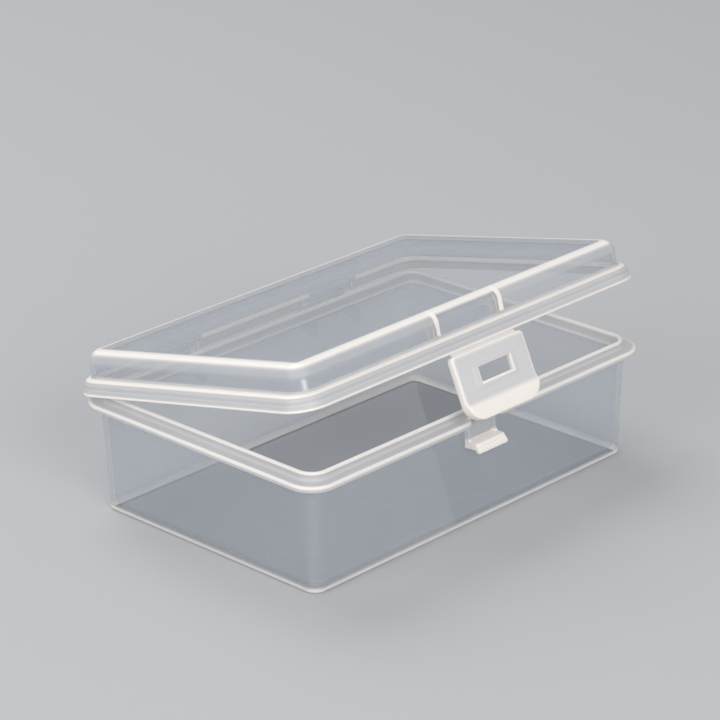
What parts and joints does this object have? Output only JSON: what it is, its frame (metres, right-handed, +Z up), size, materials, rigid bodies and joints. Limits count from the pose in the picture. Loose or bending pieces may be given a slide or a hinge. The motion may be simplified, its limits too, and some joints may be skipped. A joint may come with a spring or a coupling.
{
  "type": "hinged plastic storage box",
  "caption": "Small rectangular clear plastic box with a hinged lid, standing ajar, and a front flap latch that drops over a catch on the base.",
  "frame": {"origin": "middle of the flat underside of the base", "axes": "+Z up, +X along the long sides, -Y towards the latch, +Y towards the hinge"},
  "size_m": [0.125, 0.0979, 0.0592],
  "materials": {
    "clear_wall": "natural polypropylene, slightly milky, smooth",
    "lid_wall": "natural polypropylene, slightly milky, smooth",
    "thick_trim": "the same polypropylene where it is thick, milky white",
    "latch": "the same polypropylene, milky white, satin"
  },
  "bodies": {
    "base": {"base_tray": "clear_wall", "latch_catch": "thick_trim", "hinge_bracket_left": "thick_trim", "hinge_bracket_right": "thick_trim", "hinge_pin_left": "thick_trim", "hinge_pin_right": "thick_trim"},
    "lid": {"lid_cover": "lid_wall", "hinge_clip_left": "thick_trim", "hinge_clip_right": "thick_trim"},
    "latch": {"latch_bend": "latch", "latch_flap": "latch", "latch_grip": "latch"}
  },
  "joints": [
    {"name": "lid_hinge", "type": "hinge", "parent": "base", "child": "lid", "pos_m": [0, 0.0458, 0.0277], "axis": [-1, 0, 0], "range_deg": [-12.5, 167.5]},
    {"name": "latch_bend_hinge", "type": "hinge", "parent": "lid", "child": "latch", "pos_m": [0, -0.04084, 0.04947], "axis": [-1, 0, 0], "range_deg": [-11.6, 100]}
  ]
}
